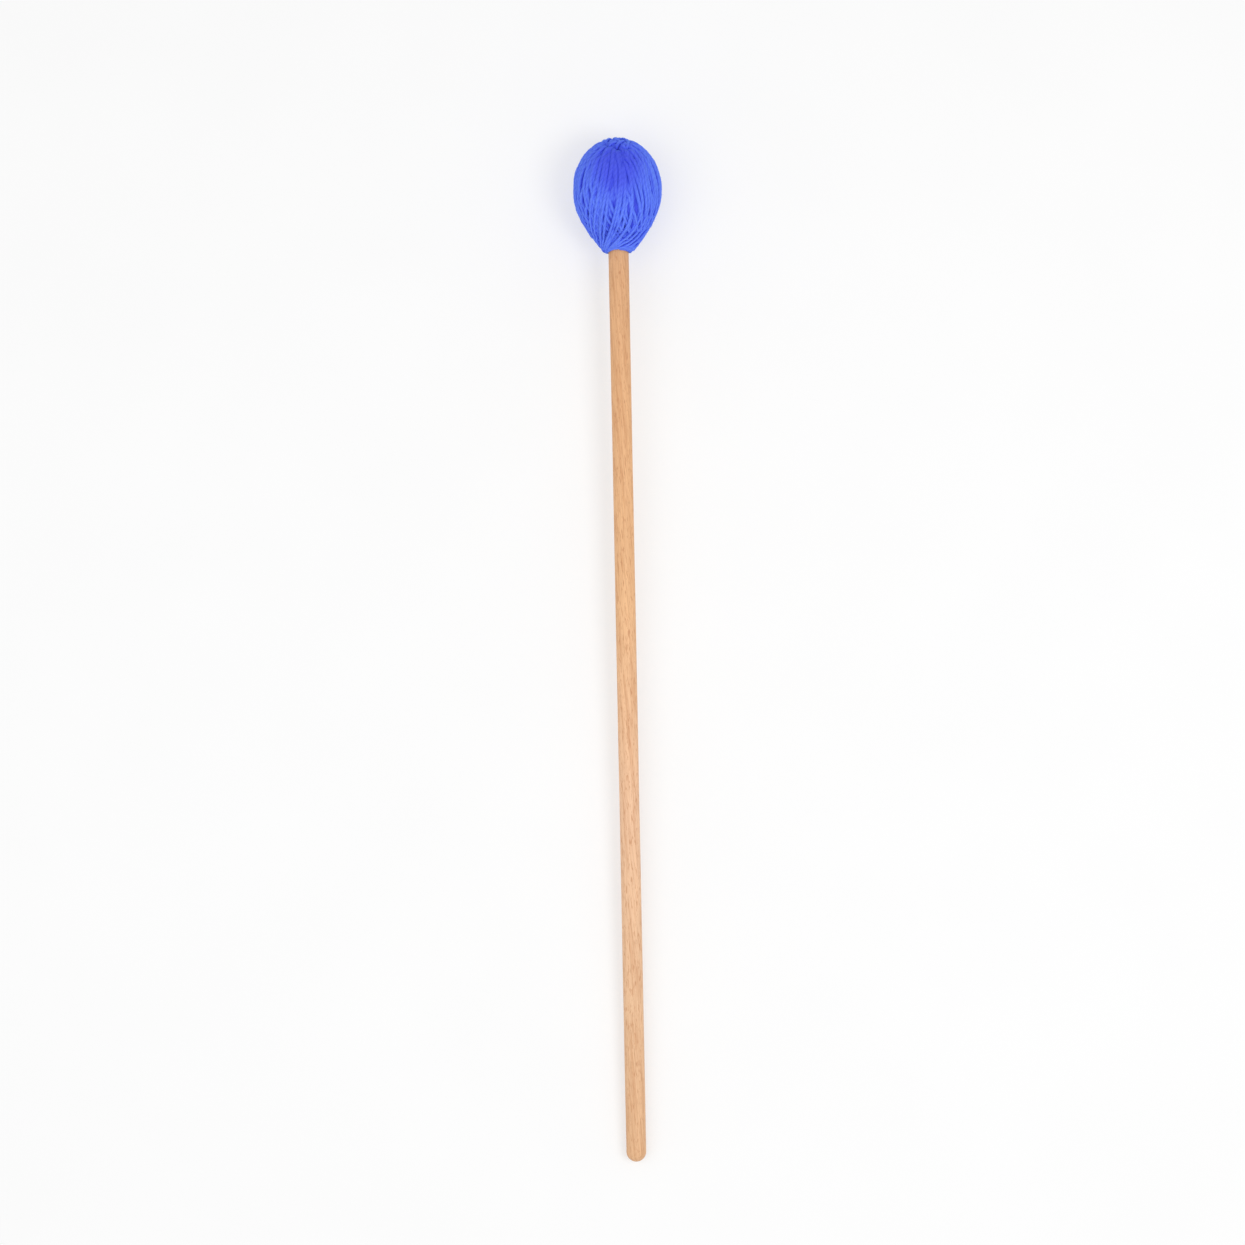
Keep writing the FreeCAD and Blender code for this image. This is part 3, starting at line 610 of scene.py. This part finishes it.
def beech_material(wood):
    """Sanded beech dowel: pale orange tan with fine long streaks, short darker ray flecks and
    tiny pores, matt to satin from light sanding and thin oil."""
    material, tree, shader = new_material("sanded_beech")
    coords = add_node(tree, "ShaderNodeTexCoord").outputs["Object"]
    # The grain leaves the dowel's axis at a small slant.
    tilt = math.atan2(AXIS[2], AXIS[0])
    grain_slant = math.radians(-4.0)
    level = add_node(tree, "ShaderNodeMapping", inputs={
        "Rotation": (0.0, tilt, grain_slant), "Vector": coords}).outputs[0]

    # Noise drawn out along the dowel: length and width in mm, detail and a shift of its own.
    grain = {}
    for key, length, width, detail, shift in (
            ("broad", 38.0, 1.2, 3.0, 0.0), ("fine", 11.0, 0.34, 4.0, 3.0),
            ("fleck", 3.4, 0.5, 1.0, 7.0), ("pore", 1.6, 0.22, 1.0, 11.0),
            ("sheen", 12.0, 0.4, 3.0, 5.0), ("ridge", 9.0, 0.25, 3.0, 3.0)):
        place = add_node(tree, "ShaderNodeMapping", inputs={
            "Scale": (1 / (length * MM), 1 / (width * MM), 1 / (width * MM)),
            "Location": (shift, shift, 0.0), "Vector": level})
        grain[key] = add_node(tree, "ShaderNodeTexNoise", inputs={
            "Scale": 1.0, "Detail": detail, "Roughness": 0.55, "Distortion": 0.5,
            "Vector": place.outputs[0]}).outputs["Fac"]

    # The dowel is a little paler in its middle, where it has been handled less.
    along = add_node(tree, "ShaderNodeSeparateXYZ", inputs={"Vector": level}).outputs["X"]
    share = add_node(tree, "ShaderNodeMapRange", inputs={
        "Value": along, "From Min": CAD_BOX[0][0], "From Max": CAD_BOX[1][0]})
    length_colour = add_node(tree, "ShaderNodeValToRGB", {"stops": [
        (0.0, linear("#e2b58b")), (0.16, linear("#ecc5a1")), (0.35, linear("#f3caaa")),
        (0.55, linear("#edbc8b")), (0.74, linear("#e5b07e")), (0.90, linear("#d7a376"))]}, {
            "Fac": share.outputs[0]})
    colour = add_node(tree, "ShaderNodeMix", {"data_type": "RGBA"}, {
        0: 0.35, 6: length_colour.outputs["Color"], 7: wood.middle}).outputs[2]
    broad = add_node(tree, "ShaderNodeValToRGB", {"stops": [
        (0.34, (0.88, 0.79, 0.72, 1.0)), (0.50, (1.0, 0.99, 0.97, 1.0)),
        (0.68, (1.07, 1.05, 1.02, 1.0))]}, {"Fac": grain["broad"]})
    fine = add_node(tree, "ShaderNodeValToRGB", {"stops": [
        (0.30, (0.82, 0.74, 0.67, 1.0)), (0.52, (1.0, 1.0, 1.0, 1.0)),
        (0.75, (1.06, 1.05, 1.0, 1.0))]}, {"Fac": grain["fine"]})
    for amount, tint in ((0.85, broad), (0.85, fine)):
        colour = add_node(tree, "ShaderNodeMix", {"data_type": "RGBA", "blend_type": "MULTIPLY"}, {
            0: amount, 6: colour, 7: tint.outputs["Color"]}).outputs[2]
    # Ray flecks, about 0.45 mm wide and 3 mm long, and pores of 0.15 by 1 mm.
    fleck = add_node(tree, "ShaderNodeMapRange", inputs={
        "Value": grain["fleck"], "From Min": 0.58, "From Max": 0.71, "To Max": 0.65})
    pore = add_node(tree, "ShaderNodeMapRange", inputs={
        "Value": grain["pore"], "From Min": 0.66, "From Max": 0.76, "To Max": 0.45})
    for amount, dark in ((fleck, wood.fleck), (pore, linear("#9a6440"))):
        colour = add_node(tree, "ShaderNodeMix", {"data_type": "RGBA"}, {
            0: amount.outputs[0], 6: colour, 7: dark}).outputs[2]
    tree.links.new(colour, shader.inputs["Base Color"])
    rough = add_node(tree, "ShaderNodeMapRange", inputs={
        "Value": grain["sheen"], "From Min": 0.3, "From Max": 0.7, "To Min": 0.52, "To Max": 0.68})
    tree.links.new(rough.outputs[0], shader.inputs["Roughness"])
    bump = add_node(tree, "ShaderNodeBump", inputs={
        "Strength": 0.25, "Distance": 0.05 * MM, "Height": grain["ridge"]})
    tree.links.new(bump.outputs["Normal"], shader.inputs["Normal"])
    shader.inputs["Specular IOR Level"].default_value = 0.35
    return material


def rubber_material():
    """Moulded natural rubber core: near black and dull, with a fine moulded grain."""
    material, tree, shader, grain = clouded_material(
        "moulded_rubber", 0.6, 3.0, (0.3, linear("#1b1b1d")), (0.7, linear("#2b2b2e")))
    bump = add_node(tree, "ShaderNodeBump", inputs={
        "Strength": 0.3, "Distance": 0.05 * MM, "Height": grain})
    tree.links.new(bump.outputs["Normal"], shader.inputs["Normal"])
    shader.inputs["Roughness"].default_value = 0.75
    return material


def glue_material():
    """Cured wood glue: amber and slightly glossy, a little uneven."""
    material, _, shader, _ = clouded_material(
        "cured_glue", 2, 2.0, (0.3, linear("#c9a869")), (0.7, linear("#dcc188")))
    shader.inputs["Roughness"].default_value = 0.4
    return material


def fibre_material(yarn):
    """Single acrylic fibres: the pale side of the blue, matt, uneven along their length."""
    material, _, shader, _ = clouded_material(
        "acrylic_fibre", 1.5, 2.0,
        (0.35, yarn.darkened_crest_highlight), (0.65, yarn.lightened_crest_highlight))
    shader.inputs["Roughness"].default_value = 0.6
    shader.inputs["Specular IOR Level"].default_value = 0.3
    return material


def floor_material():
    """Matt white table, lit a little from within as a photographer's light table is: to the
    camera and in reflections about half of its white is its own, so shadows stay faint."""
    material, tree, shader, _ = clouded_material(
        "matt_white_table", 60, 2.0, (0.3, linear("#fafafa")), (0.7, linear("#fcfcfc")))
    shader.inputs["Roughness"].default_value = 0.95
    shader.inputs["Specular IOR Level"].default_value = 0.1
    glow = add_node(tree, "ShaderNodeEmission", inputs={
        "Color": linear("#fcfcfc"), "Strength": 1.0})
    path = add_node(tree, "ShaderNodeLightPath")
    seen = add_node(tree, "ShaderNodeMath", {"operation": "MAXIMUM"}, {
        0: path.outputs["Is Camera Ray"], 1: path.outputs["Is Glossy Ray"]})
    share = add_node(tree, "ShaderNodeMath", {"operation": "MULTIPLY"}, {
        0: seen.outputs[0], 1: 0.50})
    both = add_node(tree, "ShaderNodeMixShader", inputs={
        0: share.outputs[0], 1: shader.outputs["BSDF"], 2: glow.outputs["Emission"]})
    output = next(node for node in tree.nodes if node.type == "OUTPUT_MATERIAL")
    tree.links.new(both.outputs[0], output.inputs["Surface"])
    return material


# Operators.

class MALLET_OT_shaft(bpy.types.Operator):
    """Turns the beech shaft"""
    bl_idname = "mallet.shaft"
    bl_label = "Beech shaft"

    def execute(self, context):
        dowel = turned_dowel(beech_material(context.scene.mallet_wood))
        dress(dowel, "shaft")
        return {"FINISHED"}


def turned_dowel(material):
    """Round dowel, a profile turned round the axis: a quarter circle over the butt, then even
    but for a few hundredths of a millimetre from sanding, as slow sines of the length and the
    angle. Inside the core it is thinner, and its tip has a small chamfer."""
    butt = CROWN_RISE - (CAD_BOX[1][0] - CAD_BOX[0][0]) / MM / AXIS[0]
    core_bottom, tip, tenon_r, chamfer = -12.0, 2.8, 3.8, 0.8
    bow = np.linspace(0, math.pi / 2, 18)
    shank = np.arange(butt + SHAFT_R + 1.0, core_bottom - 1.0, 2.5)
    height = np.concatenate([
        butt + SHAFT_R * (1 - np.cos(bow)), shank,
        [core_bottom, core_bottom + 0.01, tip - chamfer, tip]])
    radius = np.concatenate([
        SHAFT_R * np.sin(bow), np.full(len(shank), SHAFT_R),
        [SHAFT_R, tenon_r, tenon_r, tenon_r - chamfer]])
    ring = 64
    around = np.arange(ring) / ring * 2 * math.pi
    along = height[:, None]
    sanded = 0.02 * np.sin(along / 23.0 + 2 * around) + 0.012 * np.sin(along / 7.3)
    wide = radius[:, None] + sanded * (radius[:, None] / SHAFT_R) ** 3
    grid = ring_grid(wide, height, around)
    index, quads = ring_quads(len(height), ring)
    # The rings run upwards here, so the quads are turned to face outwards.
    faces = quads[:, [0, 3, 2, 1]].tolist() + [index[-1].tolist()]
    return mesh_object("beech_dowel", to_world(grid.reshape(-1, 3)), faces, material)


class MALLET_OT_core(bpy.types.Operator):
    """Gives the hidden core and its glue their finishes"""
    bl_idname = "mallet.core"
    bl_label = "Core and glue"

    def execute(self, context):
        set_material(frame["nodes"]["core"], rubber_material())
        set_material(frame["nodes"]["glue_film"], glue_material())
        return {"FINISHED"}


def set_material(piece, material):
    """Puts one material in a CAD node's slots."""
    if not len(piece.data.materials):
        piece.data.materials.append(material)
    for slot in piece.material_slots:
        slot.material = material


class MALLET_OT_packed(bpy.types.Operator):
    """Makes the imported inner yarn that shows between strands"""
    bl_idname = "mallet.packed"
    bl_label = "Packed inner yarn"

    def execute(self, context):
        yarn = context.scene.mallet_yarn
        material = yarn_material("packed_yarn", yarn)
        piece = packed_surface(material)
        dress(piece, "yarn_underlayer")
        return {"FINISHED"}


def packed_surface(material):
    """Turned skin under the strands: the centre surface moved in along its normal, with ridges
    of the buried strands as a cosine of the angle round the axis that leans with height. It
    closes on the axis at the crown and round the shaft at the neck."""
    rows, ring = 170, 360
    skin_drop, ridges, ridge_height = 24.6, 52, 0.25
    turn = np.linspace(math.pi / 2, -math.pi / 2, rows)
    height = np.where(turn > 0, CENTRE_RISE * np.sin(turn), skin_drop * np.sin(turn))
    # It lies deeper towards the neck and under the crown's stitches, and is painted with shade
    # there.
    low = np.clip((-6.0 - height) / 13.0, 0, 1)
    high = np.clip((height - 12.5) / 4.0, 0, 1)
    inset = 0.4 + 0.85 * low + 1.35 * high
    radius = centre_radius(height)
    radius[0] = 0.0
    ways = surface_normal(np.stack([np.maximum(radius, 1e-4), 0 * radius, height], axis=1))
    radius = np.maximum(radius - inset * ways[:, 0], 0.0)
    height = height - inset * ways[:, 2]
    radius = np.where(height < -6, np.maximum(radius, SHAFT_R - 0.1), radius)
    around = np.arange(ring) / ring * 2 * math.pi
    share = np.linspace(0, 1, rows)
    wave = np.cos(ridges * around[None] + 5 * share[:, None])
    ridge = ridge_height * wave * np.clip(radius / 14, 0, 1)[:, None]
    wide = np.maximum(radius[:, None] + ridge, 0.0)
    grid = ring_grid(wide, height, around).reshape(-1, 3)
    index, quads = ring_quads(rows, ring)
    grid[:, 2] += neck_arch(grid)
    points = to_world(grid)
    faces = quads.tolist() + [index[-1].tolist()[::-1]]
    uv = np.zeros((len(quads) * 4 + ring, 2))
    # Painted shade towards the neck and under the stitches; painted light makes it paler, most of
    # all towards the neck.
    values = {"shade": np.repeat(0.2 * low + 0.45 * high, ring),
              "loose": np.repeat(0.7 + 0.3 * low, ring)}
    return mesh_object("yarn_packed", points, faces, material, uv, values)


class MALLET_OT_winding(bpy.types.Operator):
    """Lays the outer winding as one long yarn in four sweeps"""
    bl_idname = "mallet.winding"
    bl_label = "Outer winding"

    def execute(self, context):
        yarn = context.scene.mallet_yarn
        points, ways, run, depth = laid_yarn(yarn.loops, yarn.seed)
        material = yarn_material("twisted_acrylic_yarn", yarn)
        ends = np.linspace(0, len(points) - 1, 5).astype(int)
        for number in range(4):
            stretch = slice(ends[number], ends[number + 1] + 2)
            pulled = drawn_in(points[stretch])
            # Painted shade on buried strands, most of all where the winding opens at the neck, and
            # in the pockets by the stitches.
            buried = np.clip((-8.0 - points[stretch, 2]) / 9.0, 0, 1)
            shade = (depth[stretch] - 0.4) / (4.6 - 3.0 * buried)
            shade = np.clip(shade, 0, 0.22 + 0.38 * buried) + 0.8 * pulled
            sunk = depth[stretch] + POCKET_DEPTH * pulled
            centres = points[stretch] - ways[stretch] * sunk[:, None]
            # Flattened over the top, and pulled thin where strands cross at the neck.
            flat = 1 + 0.13 * np.clip((centres[:, 2] + 4.0) / 8.0, 0, 1)
            low = np.clip((-5.0 - centres[:, 2]) / 9.0, 0, 1)
            piece = closed_strand(
                "yarn_sweep_%d" % (number + 1), centres, ways[stretch], run[stretch],
                (flat - 0.29 * low) * yarn.strand_width / MM / 2,
                (flat - 0.18 * low) * yarn.strand_height / MM / 2,
                yarn, shade, material)
            dress(piece, "yarn_winding")
        centres, outward, length, tucked = tail_turn()
        # Painted shade where the tail's ends are tucked in.
        piece = closed_strand(
            "yarn_tail", centres, outward, length, 0.74, 0.66, yarn, 0.5 * tucked, material)
        dress(piece, "yarn_winding")
        return {"FINISHED"}


class MALLET_OT_neck(bpy.types.Operator):
    """Winds the two turns of yarn round the shaft under the head"""
    bl_idname = "mallet.neck"
    bl_label = "Neck turns"

    def execute(self, context):
        yarn = context.scene.mallet_yarn
        material = yarn_material("neck_yarn", yarn)
        turns, lowest, rise, inside = 2.15, -24.2, 1.35, 0.66
        turn = np.arange(0, turns * 2 * math.pi, 0.08)
        climb = rise * np.clip(turn / (2 * math.pi) - 0.5, 0, 1)
        height = lowest + 0.2 * np.sin(turn) + climb
        radius = SHAFT_R + inside + 0.03 * np.sin(turn * 2.3)
        centres = np.stack([radius * np.cos(turn), radius * np.sin(turn), height], axis=1)
        centres[:, 2] += neck_arch(centres)
        ways = np.stack([np.cos(turn), np.sin(turn), 0 * turn], axis=1)
        run = turn * radius.mean()
        # Painted shade, even over both turns.
        piece = closed_strand("yarn_neck_turns", centres, ways, run, 0.80, 0.76,
                              yarn, np.full(len(turn), 0.1), material, 14)
        dress(piece, "neck_wrap")
        return {"FINISHED"}


# Ends of the crown stitches in plan, in mm: forward and sideways of the tip, twice.
STITCHES = (
    (8.9, -2.9, 7.6, 0.5),
    (4.3, -1.0, 8.3, 1.8),
    (9.9, 0.0, 5.7, 3.1),
    (1.2, 1.9, 5.9, 4.5),
    (3.9, 4.9, 9.8, 4.2),
    (6.2, -4.3, 1.2, -2.2),
    (-4.6, -1.5, -8.4, 1.2),
    (-9.0, -2.0, -5.0, 3.4),
)
# Small pockets that the needle left between strands, forward and sideways of the tip.
POCKETS = ((10.2, 0.1), (6.3, 1.4), (3.2, 3.2), (8.4, -2.9), (-6.5, 0.8), (-9.5, -1.5))
POCKET_DEPTH = 2.1


def drawn_in(points):
    """How much the yarn is drawn in by the stitches, from 0 to 1: the larger of two bells, of
    the distance in plan to the nearest end of a stitch and to the nearest pocket."""
    pocket_reach, at_stitch, crown_starts = 1.3, 0.6, 8.0
    ends = np.array(STITCHES).reshape(-1, 2)
    to_end = np.linalg.norm(points[:, None, :2] - ends[None], axis=2).min(axis=1)
    to_pocket = np.linalg.norm(points[:, None, :2] - np.array(POCKETS)[None], axis=2).min(axis=1)
    drawn = np.maximum(
        at_stitch * np.exp(-to_end ** 2), np.exp(-(to_pocket / pocket_reach) ** 4))
    return drawn * (points[:, 2] > crown_starts)


class MALLET_OT_crown(bpy.types.Operator):
    """Sews the short stitches that hold the yarn on the crown"""
    bl_idname = "mallet.crown"
    bl_label = "Crown stitches"

    def execute(self, context):
        yarn = context.scene.mallet_yarn
        material = yarn_material("stitch_yarn", yarn)
        for number, ends in enumerate(STITCHES):
            piece = stitch("crown_stitch_%d" % (number + 1), np.array(ends), yarn, material)
            dress(piece, "crown_stitch")
        return {"FINISHED"}


def stitch(name, ends, yarn, material):
    """One stitch: a straight line in plan over the crown that follows the outline, and dives
    under the surface at both ends with the sixth power of the share from its middle."""
    beyond, proud, dive = 1.12, 0.30, 2.4
    share = np.linspace(-1, 1, 49)
    start, stop = ends[:2], ends[2:]
    plan = (start + stop) / 2 + (stop - start) / 2 * share[:, None] * beyond
    girth = np.hypot(plan[:, 0], plan[:, 1])
    height = CENTRE_RISE * np.sqrt(np.clip(1 - (girth / CENTRE_WIDEST) ** 2, 0.01, 1))
    base = np.stack([plan[:, 0], plan[:, 1], height], axis=1)
    ways = surface_normal(base)
    buried = np.abs(share) ** 6
    centres = base + ways * (proud - dive * buried)[:, None]
    # Painted shade where the stitch's ends dive under.
    return closed_strand(
        name, centres, ways, length_along(centres), 0.66, 0.60, yarn,
        np.clip(buried, 0, 0.6), material, 14)


class MALLET_OT_fuzz(bpy.types.Operator):
    """Lets fine fibre ends stand out of the yarn"""
    bl_idname = "mallet.fuzz"
    bl_label = "Loose fibres"

    def execute(self, context):
        yarn = context.scene.mallet_yarn
        points, ways, _, depth = laid_yarn(yarn.loops, yarn.seed)
        piece = fuzz(points, ways, depth, yarn)
        dress(piece, "yarn_winding")
        return {"FINISHED"}


def fuzz(points, ways, depth, yarn):
    """Loose fibre ends: each a three sided hair along a parabola that leaves the strand's outer
    side and bends over to one side, thinning with the root of what is left of its length."""
    # Fibres leave the top strands, from just inside the surface, by this share of a strand.
    top_layer, rooted = 0.35, 0.46
    rng = np.random.default_rng(yarn.seed + 9)
    near_top = np.nonzero(depth < top_layer)[0]
    near_top = near_top[(near_top > 2) & (near_top < len(points) - 3)]
    pick = rng.choice(near_top, yarn.fibres)
    base, up = points[pick], ways[pick]
    tangent = unit(points[pick + 1] - points[pick - 1])
    side = np.cross(up, tangent)
    angle = rng.uniform(-0.9, 0.9, yarn.fibres)[:, None]
    root = base - up * depth[pick][:, None] + (
        up * np.cos(angle) * yarn.strand_height
        + side * np.sin(angle) * yarn.strand_width) * (rooted / MM)
    out = up * np.cos(angle) + side * np.sin(angle) + rng.normal(0, 0.35, (yarn.fibres, 3))
    bend = tangent * rng.choice([-1, 1], (yarn.fibres, 1)) + rng.normal(0, 0.7, (yarn.fibres, 3))
    shortest, longest, thickness = 0.2, 0.8, 0.016
    length = np.minimum(rng.gamma(3.0, 0.16, (yarn.fibres, 1)) + shortest, longest)
    steps, sides = 6, 3
    share = (np.arange(steps) / (steps - 1))[None, :, None]
    curve = out[:, None] * share * 0.6 + bend[:, None] * share ** 2 * 0.6
    line = root[:, None] + length[:, None] * curve
    way = unit(np.gradient(line, axis=1))
    first = unit(np.cross(way, side[:, None] + 0.3))
    second = np.cross(way, first)
    thin = thickness * np.sqrt(1.02 - share)
    around = (np.arange(sides) / sides * 2 * math.pi)[None, None, :, None]
    grid = line[:, :, None] + thin[..., None] * (
        first[:, :, None] * np.cos(around) + second[:, :, None] * np.sin(around))
    index = np.arange(yarn.fibres * steps * sides).reshape(yarn.fibres, steps, sides)
    following = np.roll(index, -1, axis=2)
    quads = np.stack([index[:, :-1], following[:, :-1], following[:, 1:], index[:, 1:]], axis=-1)
    caps = np.concatenate([index[:, 0, ::-1], index[:, -1]])
    faces = quads.reshape(-1, 4).tolist() + caps.tolist()
    count = yarn.fibres * steps * sides
    values = {"shade": np.zeros(count), "loose": np.ones(count)}
    return mesh_object("yarn_loose_fibres", to_world(grid.reshape(-1, 3)), faces,
                       fibre_material(yarn), None, values)


class MALLET_OT_stage(bpy.types.Operator):
    """Makes the floor, the light and the camera"""
    bl_idname = "mallet.stage"
    bl_label = "Stage"

    def execute(self, context):
        stage = context.scene.mallet_stage
        make_floor()
        make_light(stage)
        make_camera(stage)
        return {"FINISHED"}


def make_floor():
    """Flat white floor, a grid of one face."""
    half = 3.0
    points = np.array([[-half, -half, 0], [half, -half, 0], [half, half, 0], [-half, half, 0]])
    floor = mesh_object("floor", points, [[0, 1, 2, 3]], floor_material())


def make_light(stage):
    """Even white sky, and a soft box on each side of the mallet. The right one is smaller and
    a little stronger, so its shadow is sharper."""
    world = bpy.data.worlds.new("even_white_sky")
    bpy.context.scene.world = world
    world.use_nodes = True
    background = world.node_tree.nodes["Background"]
    background.inputs["Color"].default_value = (1.0, 1.0, 1.0, 1.0)
    # The camera sees the sky in the tone of the far floor.
    far_floor = 0.80
    path = add_node(world.node_tree, "ShaderNodeLightPath")
    strength = add_node(world.node_tree, "ShaderNodeMapRange", inputs={
        "Value": path.outputs["Is Camera Ray"], "To Min": stage.sky, "To Max": far_floor})
    world.node_tree.links.new(strength.outputs[0], background.inputs["Strength"])
    for name, side, size, share in (
            ("soft_box_left", 1, 0.9, 0.42), ("soft_box_right", -1, 0.45, 0.52)):
        lamp = bpy.data.lights.new(name, "AREA")
        lamp.shape = "SQUARE"
        lamp.size = size
        lamp.energy = stage.lamp * share
        holder = bpy.data.objects.new(name, lamp)
        holder.location = (-0.1, side * 0.5, 1.0)
        holder.rotation_euler = (-holder.location).to_track_quat("-Z", "Y").to_euler()
        bpy.context.scene.collection.objects.link(holder)


def make_camera(stage):
    """Camera straight over the mallet, turned by the mallet's lean in the picture and moved
    so that the crown and the butt come where the picture has them."""
    right = np.array([-math.sin(stage.lean), -math.cos(stage.lean), 0.0])
    up = np.array([math.cos(stage.lean), -math.sin(stage.lean), 0.0])
    to_left, upwards = 1.58, 12.0
    middle = (-to_left * right + upwards * up) * MM
    camera = bpy.data.cameras.new("overhead")
    camera.sensor_fit = "HORIZONTAL"
    camera.sensor_width = 36.0
    camera.lens = camera.sensor_width * stage.camera_height / stage.frame_width
    camera.clip_end = 20.0
    holder = bpy.data.objects.new("overhead", camera)
    place = (middle[0], middle[1], stage.camera_height)
    columns = np.array([right, up, (0.0, 0.0, 1.0), place])
    holder.matrix_world = Matrix(columns.T.tolist() + [[0.0, 0.0, 0.0, 1.0]])
    bpy.context.scene.collection.objects.link(holder)
    bpy.context.scene.camera = holder
    bpy.context.scene.view_settings.view_transform = "Standard"


class MALLET_PT_panel(bpy.types.Panel):
    """Lists the steps that dress the mallet"""
    bl_idname = "MALLET_PT_panel"
    bl_label = "Mallet"
    bl_space_type = "VIEW_3D"
    bl_region_type = "UI"
    bl_category = "Mallet"

    def draw(self, context):
        for operator in STEPS:
            self.layout.operator(operator.bl_idname)
        scene = context.scene
        for group in (scene.mallet_yarn, scene.mallet_wood, scene.mallet_stage):
            for name in group.bl_rna.properties.keys():
                if name not in ("rna_type", "name"):
                    self.layout.prop(group, name)


STEPS = (MALLET_OT_stage, MALLET_OT_shaft, MALLET_OT_core, MALLET_OT_packed, MALLET_OT_winding,
         MALLET_OT_neck, MALLET_OT_crown, MALLET_OT_fuzz)
CLASSES = (MalletYarn, MalletWood, MalletStage) + STEPS + (MALLET_PT_panel,)


def register():
    for item in CLASSES:
        bpy.utils.register_class(item)
    bpy.types.Scene.mallet_yarn = bpy.props.PointerProperty(type=MalletYarn)
    bpy.types.Scene.mallet_wood = bpy.props.PointerProperty(type=MalletWood)
    bpy.types.Scene.mallet_stage = bpy.props.PointerProperty(type=MalletStage)


def unregister():
    del bpy.types.Scene.mallet_stage
    del bpy.types.Scene.mallet_wood
    del bpy.types.Scene.mallet_yarn
    for item in reversed(CLASSES):
        bpy.utils.unregister_class(item)


def main():
    """Registers the add-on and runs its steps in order."""
    register()
    bpy.ops.mallet.stage()
    bpy.ops.mallet.shaft()
    bpy.ops.mallet.core()
    bpy.ops.mallet.packed()
    bpy.ops.mallet.winding()
    bpy.ops.mallet.neck()
    bpy.ops.mallet.crown()
    bpy.ops.mallet.fuzz()


if __name__ == "__main__":
    main()
